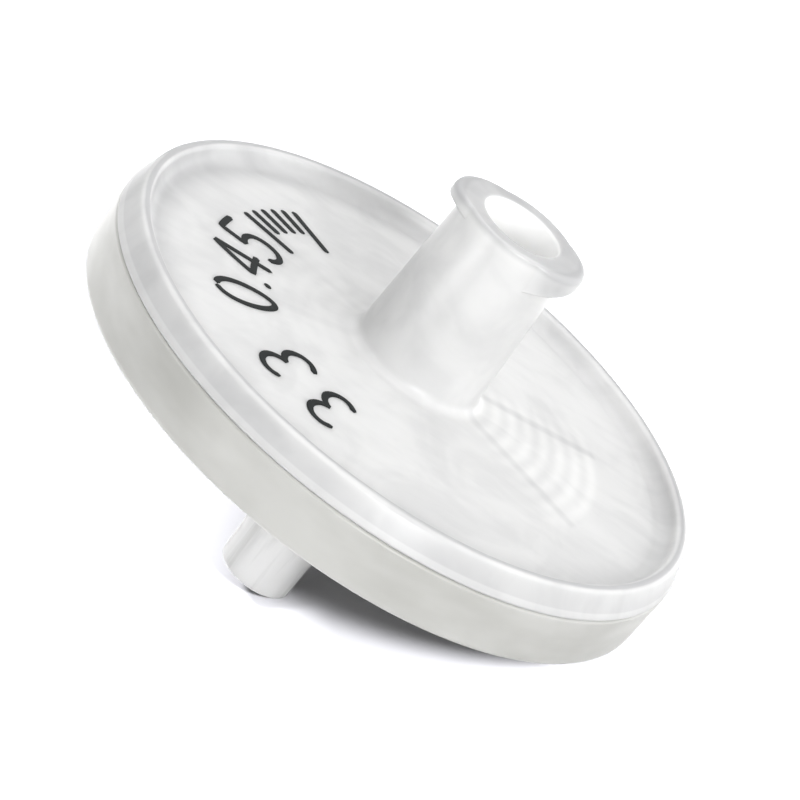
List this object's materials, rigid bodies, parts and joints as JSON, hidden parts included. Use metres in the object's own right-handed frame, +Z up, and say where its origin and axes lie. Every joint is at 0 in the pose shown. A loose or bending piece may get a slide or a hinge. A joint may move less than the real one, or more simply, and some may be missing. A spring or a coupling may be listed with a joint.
{
  "type": "syringe filter",
  "caption": "Disc syringe filter with a female luer lock inlet, a male luer outlet tip and a clamped membrane between two welded housing halves.",
  "frame": {"origin": "middle of the filter's footprint, on the surface it lies on", "axes": "+Z up as it lies on the edge of its disc and the end of its outlet tip; the flow axis lies in the XZ plane and leans 34.63 degrees from +Z towards +X at the inlet; +Y is across the disc"},
  "size_m": [0.0292, 0.033, 0.0222],
  "materials": {
    "inlet_plastic": "natural translucent moulded plastic, smooth with a slight milky haze",
    "outlet_plastic": "natural translucent moulded plastic, clearer and glossier on the tip",
    "membrane": "thin white porous sheet, matt"
  },
  "bodies": {
    "root": {"inlet_housing": "inlet_plastic", "outlet_housing": "outlet_plastic", "membrane": "membrane"}
  },
  "joints": []
}
